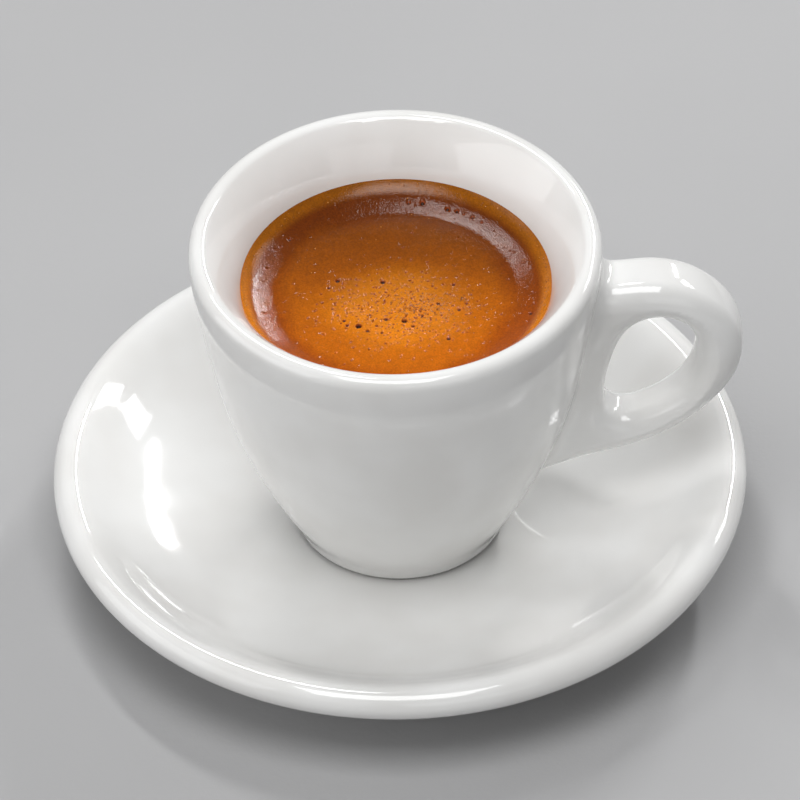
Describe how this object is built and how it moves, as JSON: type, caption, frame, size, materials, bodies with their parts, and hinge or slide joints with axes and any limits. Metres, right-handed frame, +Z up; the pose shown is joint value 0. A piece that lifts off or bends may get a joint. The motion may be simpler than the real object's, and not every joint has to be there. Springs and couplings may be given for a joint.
{
  "type": "espresso shot",
  "caption": "Espresso shot with brown crema in a thick white porcelain cup with an ear handle, standing on its round saucer.",
  "frame": {"origin": "centre of the saucer's foot ring, on the surface that it stands on", "axes": "+Z up along the cup's and the saucer's axis, +X towards the handle, +Y to the back"},
  "size_m": [0.1116, 0.1116, 0.0651],
  "materials": {
    "porcelain": "clear glossy glaze",
    "coffee": "dark liquid, glossy",
    "crema": "fine wet foam, satin"
  },
  "bodies": {
    "root": {"saucer": "porcelain", "cup": "porcelain", "coffee": "coffee", "crema": "crema"}
  },
  "joints": []
}
